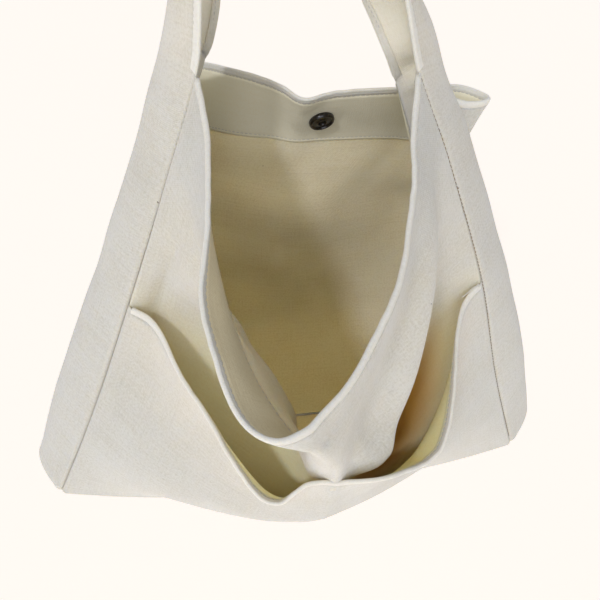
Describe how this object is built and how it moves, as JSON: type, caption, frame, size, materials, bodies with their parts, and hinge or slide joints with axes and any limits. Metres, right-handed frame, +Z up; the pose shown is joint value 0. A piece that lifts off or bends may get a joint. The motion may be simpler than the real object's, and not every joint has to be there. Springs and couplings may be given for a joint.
{
  "type": "shoulder tote bag",
  "caption": "Soft cotton canvas shoulder tote hanging open from its wide strap, with a gaping front pocket divided by a stitch, side bands that run on as the strap, and a snap at the mouth.",
  "frame": {"origin": "the hanging point, against the inside of the strap's fold at its top", "axes": "+Z up, +Y towards the back of the bag, +X to the right as the front pocket is seen"},
  "size_m": [0.4701, 0.29, 0.652],
  "materials": {
    "canvas": "natural undyed plain-weave cotton canvas, matt",
    "snap_metal": "black-brown enamel, half gloss"
  },
  "bodies": {
    "root": {"front_panel": "canvas", "back_panel": "canvas", "pocket_panel": "canvas", "bottom_panel": "canvas", "left_side_band": "canvas", "right_side_band": "canvas", "snap_socket": "snap_metal", "snap_stud": "snap_metal"}
  },
  "joints": []
}
